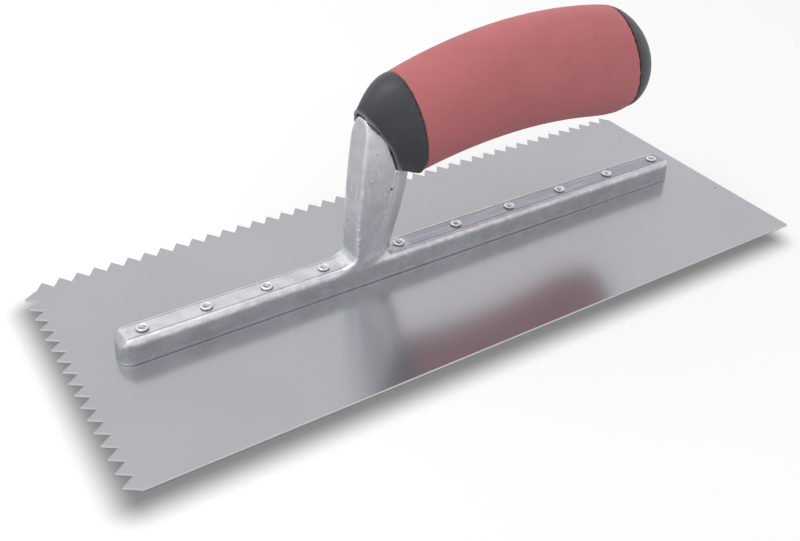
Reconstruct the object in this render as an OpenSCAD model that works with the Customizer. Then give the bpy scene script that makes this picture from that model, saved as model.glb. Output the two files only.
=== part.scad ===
// Notched trowel: a thin steel blade with V teeth along one short and one long edge,
// riveted to a cast mounting bar whose shank carries a capped handle with a soft grip.
// Millimetres. The blade lies flat on z = 0 with its outline centred on the origin,
// the notched short edge at -X and the notched long edge at +Y.

/* [Blade] */
// Length over the tooth tips of the short edge
blade_l = 277.3; // [230:0.1:420]
// Width over the tooth tips of the long edge
blade_w = 112.3; // [90:0.1:140]
// Sheet thickness
blade_t = 0.8; // [0.6:0.1:1.5]
// Spacing of the teeth
tooth_pitch = 6.35; // [4:0.05:12]
// Depth of each V notch
notch_depth = 4.5; // [2:0.1:6]
// First notch root of the short edge, from the plain long edge
short_edge_start = 0.35; // [0.1:0.05:3]
// First notch root of the long edge, from the tips of the short edge
long_edge_start = 4.5; // [4:0.1:8]

/* [Mounting bar] */
// Length of the bar
bar_l = 243.8; // [200:0.1:270]
// Width of the bar and thickness of the shank
bar_w = 11.1; // [10:0.1:14]
// Height of the bar above the blade
bar_h = 9.5; // [7:0.1:12]
// Bar centre line behind the blade centre line
bar_y = 1.1; // [-4:0.1:4]
// Middle of the bar, along the blade
bar_x = -0.2; // [-3:0.1:3]
// Rounding of the two top edges of the bar
bar_shoulder = 2; // [1:0.1:3]
// Lean of the rounded front end, measured at its top
bar_end_draft = 1.6; // [0:0.1:3]
// Corner radius of the square rear end
bar_rear_corner = 2.5; // [1:0.1:4]

/* [Shank] */
// Front face of the shank at its foot
shank_x = -34.8; // [-45:0.1:-25]
// Forward slope of the shank between foot and mouth
shank_lean = 4.9; // [2:0.1:8]
// Length of the shank foot along the bar, without fillets
shank_foot = 15.8; // [12:0.1:22]
// Fillet in front of the shank foot
shank_fillet = 5; // [3:0.1:6]
// Fillet behind the shank foot
rear_fillet = 2.6; // [1:0.1:3]
// Front height of the sloping ledge under the handle
ledge_z = 45.9; // [43:0.1:48]
// Slope of the ledge, in degrees
ledge_slope = 10; // [0:0.5:30]
// Shank length at the front height of the ledge
ledge_l = 22.2; // [19:0.1:25]
// Top of the shank, in the mouth of the handle
shank_top = 67; // [64:0.1:70]
// Length of the oblique top of the shank, from its top back to the ledge
mouth_l = 11.5; // [9:0.1:13]
// Tang diameter
tang_d = 11; // [9:0.1:12]
// Tang length beyond the shank front face
tang_l = 48; // [36:0.5:60]

/* [Handle] */
// Height of the highest point of the handle centre line
handle_z = 67.7; // [64:0.1:75]
// Position of that point along the blade
handle_x = 40; // [35:0.1:45]
// Radius of the handle centre line
handle_arc = 195; // [150:1:400]
// Front end of the grip, on the centre line
grip_x = -13; // [-14:0.1:-11]
// Grip length
grip_l = 96.4; // [80:0.1:130]
// Grip height at the front
grip_front_h = 38.8; // [34:0.1:42]
// Grip height at the rear
grip_rear_h = 44.2; // [38:0.1:50]
// Grip width at the front
grip_front_w = 30.7; // [26:0.1:34]
// Grip width at the rear
grip_rear_w = 34.9; // [30:0.1:40]
// Rise of the underside at the rear end of the grip
grip_heel = 3.6; // [1:0.1:5]
// Narrowing of each side at the rear end of the grip
grip_tuck = 1.2; // [0.5:0.1:3]
// Tilt of the end faces of the grip, in degrees
joint_tilt = 10.3; // [0:0.1:15]
// Thickness of the soft grip
grip_t = 3.5; // [2:0.1:5]
// Wall of the handle mouth around the shank
mouth_wall = 1.1; // [0.8:0.1:2]
// Gap between shank and handle mouth
mouth_gap = 0.2; // [0.1:0.05:0.5]
// Gap between the shank and the lip of the handle behind it
chin_gap = 0.5; // [0.2:0.05:1]
// Gap between grip and core
grip_gap = 0.15; // [0.05:0.05:0.4]

/* [Fasteners] */
// Rivets between the front end of the bar and the shank
front_rivets = 4; // [2:1:6]
// Rivets between the shank and the rear end of the bar
rear_rivets = 6; // [3:1:9]
// First rivet from the front end of the bar
front_rivet_inset = 9.7; // [8:0.1:14]
// Last rivet from the rear end of the bar
rear_rivet_inset = 6.4; // [5:0.1:12]
// Rivet clear of the front face of the shank
front_rivet_clear = 10.8; // [8:0.1:16]
// Rivet clear of the rear face of the shank
rear_rivet_clear = 5.2; // [5:0.1:12]
// Rivet shank diameter
rivet_d = 3.2; // [2.5:0.1:3.5]
// Diameter of the clenched rivet ring
rivet_head_d = 4.3; // [4:0.1:5]
// Height of the clenched ring above the bar
rivet_head_h = 0.7; // [0.4:0.1:1.2]
// Diameter of the hollow in the ring
rivet_dimple_d = 2.3; // [1.5:0.1:2.6]
// Depth of the hollow in the ring
rivet_dimple_h = 1.1; // [0.5:0.1:2]
// Diameter of the flush countersunk end in the blade
rivet_sunk_d = 5.2; // [4.5:0.1:6]
// Gap around each rivet
rivet_gap = 0.05; // [0.03:0.01:0.1]
// Handle bolt diameter
bolt_d = 6; // [5:0.1:7]
// Height of the bolt above the table
bolt_z = 57; // [55:0.1:59]
// Bolt head diameter
bolt_head_d = 10; // [9:0.1:11]
// Bolt head height
bolt_head_h = 6; // [4:0.1:7]
// Key size of the socket in the bolt head
bolt_key = 5; // [4:0.1:6]
// Thread engagement in the tang
bolt_grip = 14; // [10:0.5:20]
// Washer diameter
washer_d = 12.4; // [11:0.1:13]
// Washer thickness
washer_t = 1.2; // [0.8:0.1:2]
// Gap around bolt, tang and washer
bolt_gap = 0.2; // [0.1:0.05:0.4]

/* [Hidden] */
$fn = 48;
eps = 0.01;

// Blade outline
x0 = -blade_l / 2;
y0 = -blade_w / 2;
short_root_x = x0 + notch_depth;
long_root_y = -y0 - notch_depth;
short_last = round((blade_w - short_edge_start - notch_depth) / tooth_pitch);
long_last = ceil((blade_l - long_edge_start) / tooth_pitch);
short_root_y = [for (k = [0:short_last]) y0 + short_edge_start + k * tooth_pitch];
long_root_x = [for (k = [0:long_last]) x0 + long_edge_start + k * tooth_pitch];

// Bar and shank
bar_front = bar_x - bar_l / 2;
bar_rear = bar_x + bar_l / 2;
bar_top = blade_t + bar_h;
shank_w = bar_w - 0.1;
shank_rear = shank_x + shank_foot;
// Front face position at a height
function front_x(z) = shank_x + shank_lean * pow((z - bar_top) / (shank_top - bar_top), 2);
ledge_rear = front_x(ledge_z) + ledge_l;
ledge_x = front_x(shank_top) + mouth_l;
// Top of the shank behind the mouth line, falling to the lip at its rear
function ledge_at(x) = ledge_z - (x - ledge_x) * tan(ledge_slope);
lip_z = ledge_at(ledge_rear);
// Rear face position at a height: leans back to the ledge, most at the foot
function rear_x(z) =
    let (u = (z - bar_top) / (ledge_z - bar_top))
    shank_rear + (ledge_rear - shank_rear) * (1 - pow(1 - u, 1.5));
// Spread of a fillet of radius r at a height above the bar
function fillet(z, r) = r - sqrt(pow(r, 2) - pow(r - min(max(z - bar_top, 0), r), 2));
// Length of the rounded rear part of the shank section, at the foot, at the ledge and between
foot_round = 12;
ledge_round = 7.6;
function round_l(z) =
    let (u = (z - bar_top) / (ledge_z - bar_top))
    foot_round + (ledge_round - foot_round) * (1 - pow(1 - u, 1.6));
// Roundness of that part: 2 is an ellipse, less leaves an edge along the flat side
rear_power = 1.75;
shank_z = concat(
    [blade_t + bar_h / 2],
    [for (i = [0:4]) bar_top + shank_fillet * i / 4],
    [for (i = [1:5]) bar_top + shank_fillet + (lip_z - bar_top - shank_fillet) * i / 5]
);

// Oblique end of the shank, from its top down to the ledge
mouth_h = shank_top - ledge_z;
mouth_power = 1.45;
mouth_steps = 10;
mouth_line = [for (i = [0:mouth_steps])
    let (a = 14 + 76 * i / mouth_steps)
    [front_x(shank_top) + mouth_l * pow(sin(a), mouth_power),
     ledge_z + mouth_h * pow(cos(a), mouth_power)]];
// Half width of the shank at a height, rounded off over the top
arch_h = 8;
function arch_w(z) =
    shank_w / 2 * sqrt(1 - pow(max(0, z - (shank_top - arch_h)) / arch_h, 2));

// Handle centre line and grip section at a share u of the grip length
function axis_x(u) = grip_x + grip_l * u;
function axis_z(u) = handle_z - handle_arc
    + sqrt(pow(handle_arc, 2) - pow(axis_x(u) - handle_x, 2));
function axis_tilt(u) = asin((axis_x(u) - handle_x) / handle_arc);
function ease(u) = 1 - pow(1 - u, 2);
function rear_ease(u) = pow(max(0, u - 0.8) / 0.2, 3);
function half_h(u) = (grip_front_h + (grip_rear_h - grip_front_h) * ease(u)) / 2
    / cos(joint_tilt + axis_tilt(u));
function half_w(u) = (grip_front_w + (grip_rear_w - grip_front_w) * ease(u)) / 2
    - grip_tuck * rear_ease(u);
// Rib: top point, bottom point, half width, squareness above and below the widest place
function grip_rib(u) = [
    axis_x(u) - half_h(u) * sin(joint_tilt),
    axis_z(u) + half_h(u) * cos(joint_tilt),
    axis_x(u) + half_h(u) * sin(joint_tilt),
    axis_z(u) - half_h(u) * cos(joint_tilt) + grip_heel * rear_ease(u),
    half_w(u),
    2, 2
];
grip_steps = 16;
grip_ribs = [for (i = [0:grip_steps]) grip_rib(i / grip_steps)];
front_rib = grip_ribs[0];
rear_rib = grip_ribs[grip_steps];

// Nose ribs from the mouth back to the grip
mouth_half = shank_w / 2 + mouth_gap + mouth_wall;
mouth_lead = 1.3;
// The chin is a narrow keel at the mouth, then hangs in a full belly before the grip
chin_drop = 9.5;
chin_keel = 1.15;
chin_full = 0.5;
chin_hang = 2.1;
function chin_belly(u) = sin(180 * pow(u, 1.3));
mouth_rib = [
    front_x(shank_top) - mouth_lead, shank_top + mouth_gap + mouth_wall,
    ledge_x + 3.4, ledge_z - chin_drop,
    mouth_half, 2.4, chin_keel
];
nose_steps = 8;
// The nose widens and rises most near the mouth, its top running straight up to the grip
function nose_rib(u) =
    let (a = mouth_rib, b = front_rib, rise = 1 - pow(1 - u, 2))
    [
        a[0] + (b[0] - a[0]) * u,
        a[1] + (b[1] - a[1]) * rise,
        a[2] + (b[2] - a[2]) * u,
        a[3] + (b[3] - a[3]) * u - chin_hang * chin_belly(u),
        a[4] + (b[4] - a[4]) * (1 - pow(1 - u, 1.6)),
        a[5] + (b[5] - a[5]) * rise,
        a[6] + (b[6] - a[6]) * pow(u, 2) + chin_full * chin_belly(u)
    ];
nose_ribs = [for (i = [0:nose_steps - 1]) nose_rib(i / nose_steps)];

// Butt ribs from the grip back to the tip
butt_l = 15.6;
butt_tip_z = 58.5;
butt_steps = 8;
// Extra slope of the top line over the butt
butt_fall = tan(axis_tilt(1)) + 0.08;
function butt_rib(u) =
    let (a = rear_rib, tip_x = axis_x(1) + butt_l, run = sin(90 * u), fall = cos(90 * u))
    [
        a[0] + (tip_x - a[0]) * run,
        butt_tip_z + (a[1] - butt_tip_z - (tip_x - a[0]) * run * butt_fall) * fall,
        a[2] + (tip_x - a[2]) * run,
        butt_tip_z + (a[3] - butt_tip_z) * pow(fall, 1.4),
        a[4] * pow(fall, 1.2),
        2, 2
    ];
butt_ribs = [for (i = [0:butt_steps]) butt_rib(i * 0.98 / butt_steps)];

// A rib drawn smaller all round
function shrink(r, d) =
    let (dx = r[0] - r[2], dz = r[1] - r[3], l = norm([dx, dz]), ux = dx / l, uz = dz / l)
    [r[0] - ux * d, r[1] - uz * d, r[2] + ux * d, r[3] + uz * d, r[4] - d, r[5], r[6]];
// A rib moved along the handle
function shift(r, d) = [r[0] + d, r[1], r[2] + d, r[3], r[4], r[5], r[6]];
ring_n = 32;
function root(v, n) = sign(v) * pow(abs(v), 2 / n);
// Points of a rib section
function ring(r) =
    let (cx = (r[0] + r[2]) / 2, cz = (r[1] + r[3]) / 2)
    [for (j = [0:ring_n - 1])
        let (a = 360 * j / ring_n, n = cos(a) < 0 ? r[6] : r[5])
        let (s = root(sin(a), n), c = root(cos(a), n))
        [cx + (r[0] - cx) * c, bar_y + r[4] * s, cz + (r[1] - cz) * c]];
function join_rings(list) = [for (r = list) each r];
// Side faces between neighbouring rings of n points
function skin(rings, n) = [
    for (i = [0:rings - 2])
        for (j = [0:n - 1])
            let (a = i * n + j, b = i * n + (j + 1) % n)
            each [[a, b, a + n], [b, b + n, a + n]]
];

core_ribs = concat(
    nose_ribs,
    [front_rib],
    [shrink(front_rib, grip_t + grip_gap)],
    [for (i = [1:grip_steps - 1]) shrink(grip_ribs[i], grip_t + grip_gap)],
    [shrink(rear_rib, grip_t + grip_gap)],
    [rear_rib],
    [for (i = [1:butt_steps]) butt_ribs[i]]
);
grip_skin = concat(
    [shift(front_rib, grip_gap)],
    [for (i = [1:grip_steps - 1]) grip_ribs[i]],
    [shift(rear_rib, -grip_gap)]
);

// Bolt and tang
tang_end = front_x(bolt_z) + tang_l;
bolt_end = tang_end - bolt_grip;
washer_x = axis_x(1) + 1.5;
counterbore_d = washer_d + 2 * bolt_gap;

// Rivet positions along the bar
front_first = bar_front + front_rivet_inset;
front_last = shank_x - front_rivet_clear;
rear_first = shank_rear + rear_rivet_clear;
rear_last = bar_rear - rear_rivet_inset;
rivet_x = concat(
    [for (i = [0:front_rivets - 1])
        front_first + (front_last - front_first) * i / (front_rivets - 1)],
    [for (i = [0:rear_rivets - 1])
        rear_first + (rear_last - rear_first) * i / (rear_rivets - 1)]
);
function rivet_name(i) = str("rivet_", i < 9 ? "0" : "", i + 1);

// Space taken by one rivet, with an allowance all round
module rivet_room(gap) {
    translate([0, 0, -eps]) cylinder(h = bar_top + 2 * eps, d = rivet_d + 2 * gap);
    translate([0, 0, -eps])
        cylinder(h = blade_t, d1 = rivet_sunk_d + 2 * gap, d2 = rivet_d + 2 * gap);
}

module blade() {
    color([0.70, 0.71, 0.73])
    difference() {
        linear_extrude(blade_t)
        intersection() {
            polygon(concat(
                [[short_root_x, y0]],
                [for (k = [0:short_last]) each [
                    [short_root_x, short_root_y[k]],
                    if (k < short_last) [x0, short_root_y[k] + tooth_pitch / 2]
                ]],
                [for (k = [0:long_last]) each [
                    [long_root_x[k], long_root_y],
                    if (k < long_last) [long_root_x[k] + tooth_pitch / 2, -y0]
                ]],
                [[-x0 + tooth_pitch, long_root_y], [-x0 + tooth_pitch, y0]]
            ));
            translate([x0, y0]) square([blade_l, blade_w]);
        }
        for (x = rivet_x) translate([x, bar_y, 0]) rivet_room(rivet_gap);
    }
}

// Bar section with rounded top edges
module bar_section() {
    r = bar_shoulder;
    translate([-bar_w / 2, 0]) square([bar_w, bar_h - r]);
    translate([-bar_w / 2 + r, 0]) square([bar_w - 2 * r, bar_h]);
    for (s = [-1, 1]) translate([s * (bar_w / 2 - r), bar_h - r]) circle(r);
}

// Bar outline from above: fully rounded in front, small corners behind
module bar_plan() {
    r = bar_rear_corner;
    translate([bar_front + bar_w / 2, 0]) circle(d = bar_w);
    translate([bar_front + bar_w / 2, -bar_w / 2])
        square([bar_l - bar_w / 2 - r, bar_w]);
    translate([bar_rear - r - eps, -bar_w / 2 + r]) square([r + eps, bar_w - 2 * r]);
    for (s = [-1, 1]) translate([bar_rear - r, s * (bar_w / 2 - r)]) circle(r);
}

// Bar outline from the side, with the leaning front end
module bar_side() {
    polygon([
        [bar_front, 0], [bar_front + bar_end_draft / 2, bar_h * 0.7],
        [bar_front + bar_end_draft * 2, bar_h], [bar_rear - 1, bar_h],
        [bar_rear, bar_h - 1], [bar_rear, 0]
    ]);
}

module bar() {
    translate([0, bar_y, blade_t])
    intersection() {
        linear_extrude(bar_h) bar_plan();
        translate([bar_x, 0, 0]) rotate([90, 0, 90])
            translate([0, 0, -bar_l]) linear_extrude(2 * bar_l) bar_section();
        rotate([90, 0, 0]) translate([0, 0, -bar_w]) linear_extrude(2 * bar_w) bar_side();
    }
}

// Shank section: flat front and sides, rounded over a length toward the fingers
function shank_section(f, r, round, h, z) =
    let (n = 7, corner = min(1, h / 2, (r - f) / 3), m = r - round,
         side = concat(
             [[f, h - corner], [f + corner * 0.3, h - corner * 0.3], [f + corner, h]],
             [for (j = [0:n - 1])
                 [m + round * root(sin(90 * j / n), rear_power),
                  h * root(cos(90 * j / n), rear_power)]]
         ))
    concat(
        [for (p = side) [p[0], p[1], z]],
        [[r, 0, z]],
        [for (i = [len(side) - 1:-1:0]) [side[i][0], -side[i][1], z]]
    );

module shank() {
    lower = [for (z = shank_z)
        let (c = max(z, bar_top))
        shank_section(front_x(c) - fillet(z, shank_fillet), rear_x(c) + fillet(z, rear_fillet),
                      round_l(c) + fillet(z, rear_fillet), shank_w / 2, z)];
    upper = [for (i = [mouth_steps:-1:0])
        let (p = mouth_line[i], f = front_x(p[1]))
        shank_section(f, p[0], min(0.8, (p[0] - f) / 4), arch_w(p[1]), p[1])];
    sections = concat(lower, upper);
    n = len(sections[0]);
    m = len(sections);
    translate([0, bar_y, 0])
    polyhedron(
        points = join_rings(sections),
        faces = concat(
            skin(m, n),
            [[for (j = [n - 1:-1:0]) j]],
            [[for (j = [0:n - 1]) (m - 1) * n + j]]
        ),
        convexity = 4
    );
}

// Outline in the side view, carried across the full width of the part
module side_prism(outline) {
    translate([0, blade_w / 2, 0]) rotate([90, 0, 0]) linear_extrude(blade_w)
        polygon(outline);
}

// Socket for the top of the shank in the mouth of the handle
module socket() {
    steps = 10;
    arch = [for (i = [0:steps])
        let (a = 90 * i / steps)
        [(shank_w / 2 + mouth_gap) * cos(a),
         shank_top - arch_h + (arch_h + mouth_gap) * sin(a)]];
    intersection() {
        side_prism(concat(
            [[-blade_l, handle_z], [-blade_l, ledge_z]],
            [for (i = [mouth_steps:-1:1])
                [mouth_line[i][0] + mouth_gap,
                 mouth_line[i][1] + (i < mouth_steps ? mouth_gap : 0)]],
            [[mouth_line[0][0] + mouth_gap, handle_z]]
        ));
        translate([-blade_l, bar_y, 0]) rotate([90, 0, 90]) linear_extrude(2 * blade_l)
            polygon(concat(
                [[shank_w / 2 + mouth_gap, 0]],
                arch,
                [for (i = [steps - 1:-1:0]) [-arch[i][0], arch[i][1]]],
                [[-shank_w / 2 - mouth_gap, 0]]
            ));
    }
}

module mounting() {
    color([0.76, 0.76, 0.78])
    difference() {
        union() {
            bar();
            shank();
            translate([front_x(bolt_z) + 3, bar_y, bolt_z]) rotate([0, 90, 0])
                cylinder(h = tang_l - 3, d = tang_d);
        }
        for (x = rivet_x) translate([x, bar_y, 0]) rivet_room(rivet_gap);
        translate([bolt_end - 2, bar_y, bolt_z]) rotate([0, 90, 0])
            cylinder(h = tang_l, d = bolt_d + 2 * bolt_gap);
    }
}

// Clenched ring on top, plain shank, flush countersunk end below
module rivet(x) {
    color([0.62, 0.62, 0.64])
    translate([x, bar_y, 0])
    difference() {
        union() {
            cylinder(h = blade_t, d1 = rivet_sunk_d, d2 = rivet_d);
            cylinder(h = bar_top + eps, d = rivet_d);
            translate([0, 0, bar_top])
                cylinder(h = rivet_head_h, d1 = rivet_head_d, d2 = rivet_head_d - 0.8);
        }
        translate([0, 0, bar_top + rivet_head_h - rivet_dimple_h])
            cylinder(h = rivet_dimple_h + eps, d1 = rivet_dimple_d - 0.5, d2 = rivet_dimple_d);
    }
}

module handle_core() {
    n = ring_n;
    m = len(core_ribs);
    color([0.22, 0.23, 0.26])
    difference() {
        polyhedron(
            points = join_rings([for (r = core_ribs) ring(r)]),
            faces = concat(
                skin(m, n),
                [[for (j = [n - 1:-1:0]) j]],
                [[for (j = [0:n - 1]) (m - 1) * n + j]]
            ),
            convexity = 6
        );
        socket();
        side_prism(concat(
            [[-blade_l, 0], [-blade_l, handle_z + grip_front_h],
             [mouth_rib[0], handle_z + grip_front_h]],
            [for (i = [0:mouth_steps])
                [mouth_line[i][0] - mouth_lead * (1 - i / mouth_steps), mouth_line[i][1]]],
            [[ledge_rear + chin_gap, ledge_at(ledge_rear + chin_gap)],
             [ledge_rear + chin_gap, 0]]
        ));
        translate([front_x(bolt_z) + 3, bar_y, bolt_z]) rotate([0, 90, 0])
            cylinder(h = tang_l - 3 + bolt_gap, d = tang_d + 2 * bolt_gap);
        translate([tang_end - 1, bar_y, bolt_z]) rotate([0, 90, 0])
            cylinder(h = washer_x - tang_end + 2, d = bolt_d + 2 * bolt_gap);
        translate([washer_x, bar_y, bolt_z]) rotate([0, 90, 0])
            cylinder(h = butt_l + 10, d = counterbore_d);
    }
}

module grip_sleeve() {
    n = ring_n;
    m = len(grip_skin);
    outer = [for (r = grip_skin) ring(r)];
    inner = [for (r = grip_skin) ring(shrink(r, grip_t))];
    total = n * m;
    color([0.70, 0.38, 0.39])
    polyhedron(
        points = concat(join_rings(outer), join_rings(inner)),
        faces = concat(
            skin(m, n),
            [for (f = skin(m, n)) [f[2] + total, f[1] + total, f[0] + total]],
            [for (j = [0:n - 1])
                let (k = (j + 1) % n)
                each [[j, j + total, k], [k, j + total, k + total]]],
            [for (j = [0:n - 1])
                let (a = (m - 1) * n + j, b = (m - 1) * n + (j + 1) % n)
                each [[a, b, a + total], [b, b + total, a + total]]]
        ),
        convexity = 6
    );
}

module handle_bolt() {
    color([0.60, 0.60, 0.62])
    translate([0, bar_y, bolt_z]) rotate([0, 90, 0])
    difference() {
        union() {
            translate([0, 0, bolt_end])
                cylinder(h = washer_x + washer_t - bolt_end + eps, d = bolt_d);
            translate([0, 0, washer_x + washer_t])
                cylinder(h = bolt_head_h, d = bolt_head_d);
        }
        translate([0, 0, washer_x + washer_t + bolt_head_h / 2])
            cylinder(h = bolt_head_h, d = bolt_key / cos(30), $fn = 6);
    }
}

module bolt_washer() {
    color([0.66, 0.66, 0.68])
    translate([washer_x, bar_y, bolt_z]) rotate([0, 90, 0])
    difference() {
        cylinder(h = washer_t, d = washer_d);
        translate([0, 0, -eps]) cylinder(h = washer_t + 2 * eps, d = bolt_d + 2 * bolt_gap);
    }
}

blade();
mounting();
for (i = [0:len(rivet_x) - 1])
    rivet(rivet_x[i]);
handle_core();
grip_sleeve();
handle_bolt();
bolt_washer();
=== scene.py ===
"""Looks of a notched trowel: toothed steel blade, riveted cast mounting and a soft-grip handle."""

import math
import random

import bpy
import numpy as np
from bpy.props import FloatProperty, FloatVectorProperty, IntProperty, PointerProperty
from mathutils import Matrix, Vector
from mathutils.bvhtree import BVHTree
from mathutils.kdtree import KDTree


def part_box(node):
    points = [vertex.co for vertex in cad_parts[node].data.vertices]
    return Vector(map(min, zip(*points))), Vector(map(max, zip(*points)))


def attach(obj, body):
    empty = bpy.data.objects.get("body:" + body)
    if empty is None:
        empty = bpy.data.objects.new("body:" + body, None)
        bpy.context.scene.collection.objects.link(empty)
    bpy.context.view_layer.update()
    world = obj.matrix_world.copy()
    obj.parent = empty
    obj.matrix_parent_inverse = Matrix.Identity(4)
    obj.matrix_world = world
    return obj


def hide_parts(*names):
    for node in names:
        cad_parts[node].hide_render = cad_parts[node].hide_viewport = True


bl_info = {
    "name": "Notched trowel",
    "version": (1, 0, 0),
    "blender": (4, 5, 0),
    "location": "3D View > Sidebar > Trowel",
    "description": "Models and finishes the pieces of a notched trowel on its fixed frame",
    "category": "Object",
}

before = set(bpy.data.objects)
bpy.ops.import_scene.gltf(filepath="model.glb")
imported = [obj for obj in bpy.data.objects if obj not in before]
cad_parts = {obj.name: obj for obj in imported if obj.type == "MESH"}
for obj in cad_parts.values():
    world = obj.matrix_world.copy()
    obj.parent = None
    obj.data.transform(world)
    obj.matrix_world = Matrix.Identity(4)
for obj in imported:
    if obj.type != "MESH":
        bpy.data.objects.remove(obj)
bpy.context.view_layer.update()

MM = 0.001
BODY = "root"
RIVETS = sorted(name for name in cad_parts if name.startswith("rivet_"))
BLADE_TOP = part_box("blade")[1].z

# Dark specks in the sheet: how far in from its plain short edge and its notched long edge, and
# their radius. The last one is taken from the other two edges.
SPECKS_FROM_HIGH = ((3.7 * MM, 76.4 * MM, 0.55 * MM), (9.5 * MM, 22.0 * MM, 0.32 * MM))
SPECK_FROM_LOW = (31.0 * MM, 88.0 * MM, 0.30 * MM)

# The one deep pit in the shank's near side, and its radius.
CASTING_PIT = (-20.9 * MM, -4.6 * MM, 38.4 * MM)
CASTING_PIT_RADIUS = 0.75 * MM

# The crisp edge down the shank's sides: heights, and where it runs along the blade.
STRIP_HEIGHTS = np.array([11.0, 12.7, 23.6, 33.0, 46.7, 60.0]) * MM
STRIP_EDGE = np.array([-33.5, -32.2, -24.5, -21.4, -19.0, -18.0]) * MM
STRIP_END = (43.0 * MM, 45.5 * MM)

# The shank's front corner, which gets a painted highlight: heights, and where it runs along the blade.
CORNER_HEIGHTS = np.array([13.0, 22.1, 38.1, 51.4, 68.1]) * MM
CORNER_EDGE = np.array([-35.4, -35.0, -34.2, -33.05, -30.8]) * MM

# The middle of bar, shank and handle across the blade.
BAR_MIDDLE = 1.1 * MM

# The far cheek of the handle's mouth: heights, and how far it is drawn forward there.
CHEEK_HEIGHTS = np.array([50.0, 55.0, 58.0, 60.0, 62.0, 64.0, 66.5, 68.0]) * MM
CHEEK_FORWARD = np.array([0.0, 1.8, 3.3, 3.6, 2.8, 1.6, 0.4, 0.0]) * MM

# The floor's painted soft shadow: its shift from the blade's middle, and its inset from the blade's
# edges.
SHADE_SHIFT = (6.0 * MM, 8.5 * MM)
SHADE_INSET = (9.0 * MM, 7.0 * MM)

# The rim of the handle's mouth: its top, and how far it runs back for each step down.
MOUTH_TOP = 67.4 * MM
MOUTH_SLOPE = 0.527

# The hollow in each side of the ferrule: back from the front of the core, out from its middle,
# up from its lowest point, and its radius.
HOLLOW_BACK, HOLLOW_OUT, HOLLOW_UP, HOLLOW_RADIUS = 12.3 * MM, 12.7 * MM, 15.9 * MM, 9.0 * MM

# The two lamps: where each stands and the side of its square, and the point they look at.
KEY_PLACE, KEY_SIZE = (-0.45, 0.25, 1.25), 0.9
FILL_PLACE, FILL_SIZE = (-1.1, -0.5, 0.7), 0.8
LAMP_AIM = (0.0, 0.0, 0.02)

# Angles between faces: what is kept as an edge of a remoulded skin, what is rounded, what is flat.
SKIN_EDGE = math.radians(28.0)
SHARP_EDGE = math.radians(35.0)
FLAT_ENOUGH = math.radians(1.0)

RIVET_SEED = 7


# ---------------------------------------------------------------- settings

def length(name, description, default, low=0.0, high=0.5):
    """A size in metres that a user may change."""
    return FloatProperty(
        name=name, description=description, default=default, min=low, max=high,
        precision=5, unit="LENGTH",
    )


def colour(name, description, default):
    """A linear colour that a user may change."""
    return FloatVectorProperty(
        name=name, description=description, default=default, min=0.0, max=1.0,
        size=3, subtype="COLOR",
    )


def share(name, description, default, low=0.0, high=1.0):
    """A plain number between two limits."""
    return FloatProperty(name=name, description=description, default=default, min=low, max=high)


class BladeSettings(bpy.types.PropertyGroup):
    """Sheet steel of the blade."""

    edge_round: length("Edge round", "Rounding left on every cut edge of the sheet", 0.14 * MM)
    steel: colour("Steel", "Colour of the satin steel", (0.445, 0.445, 0.472))
    satin: share("Satin", "Roughness of the polished sheet", 0.21)


class CastingSettings(bpy.types.PropertyGroup):
    """Cast mounting: bar and shank in one piece."""

    mesh_size: length("Mesh size", "Edge length of the casting's surface mesh", 0.415 * MM, 0.3 * MM)
    foot_height: length("Foot height", "Height of the thin step along the bar's foot", 1.0 * MM)
    foot_step: length("Foot step", "How far the step stands out of the bar's sides", 0.10 * MM)
    flat_sink: length("Flat sink", "Depth of the flat between the bar's rounded shoulders", 0.14 * MM)
    flat_half: length("Flat half width", "Half the width of that flat", 3.45 * MM)
    strip_step: length("Strip step", "Height of the crisp edge behind the side facet", 0.26 * MM)
    strip_fall: length("Strip fall", "How far the strip behind that edge falls away", 0.24 * MM)
    waves: length("Waves", "Height of the slow waves in the cast skin", 0.22 * MM)
    skin: length("Skin", "Height of the small lumps in the cast skin", 0.07 * MM)
    metal: colour("Metal", "Colour of the tumbled casting", (0.62, 0.628, 0.665))
    dull: share("Dullness", "Roughness of the tumbled casting", 0.42)


class RivetSettings(bpy.types.PropertyGroup):
    """Clenched rivets along the bar."""

    sides: IntProperty(
        name="Sides", description="Sides of each turned rivet", default=40, min=16, max=96,
    )
    head_height: length("Head height", "Height of the clenched ring above the bar", 0.7 * MM)
    head_radius: length("Head radius", "Outer radius of the clenched ring", 2.15 * MM)
    dimple_radius: length("Dimple radius", "Radius of the hollow inside the ring", 1.2 * MM)
    dimple_depth: length("Dimple depth", "Depth of the hollow below the ring's top", 1.1 * MM)
    pin_radius: length("Pin radius", "Radius of the pin through bar and blade", 1.6 * MM)
    metal: colour("Metal", "Colour of the rivets", (0.74, 0.745, 0.78))


class HandleSettings(bpy.types.PropertyGroup):
    """Plastic core and soft grip."""

    core_mesh: length("Core mesh size", "Edge length of the core's surface mesh", 0.485 * MM, 0.3 * MM)
    grip_mesh: length("Grip mesh size", "Edge length of the grip's surface mesh", 0.54 * MM, 0.3 * MM)
    lip_width: length("Lip width", "Width of the raised lip round the mouth", 1.0 * MM)
    lip_height: length("Lip height", "Height of that lip", 0.30 * MM)
    hollow: length("Hollow", "Depth of the shallow hollow in each side of the ferrule", 0.8 * MM)
    plastic: colour("Plastic", "Colour of the hard plastic", (0.030, 0.032, 0.041))
    rubber: colour("Rubber", "Colour of the soft grip", (0.50, 0.150, 0.160))


class BoltSettings(bpy.types.PropertyGroup):
    """Socket bolt and washer in the butt."""

    edge_round: length("Edge round", "Rounding of the bolt's and washer's edges", 0.25 * MM)
    metal: colour("Metal", "Colour of the plated steel", (0.58, 0.58, 0.60))


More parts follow.
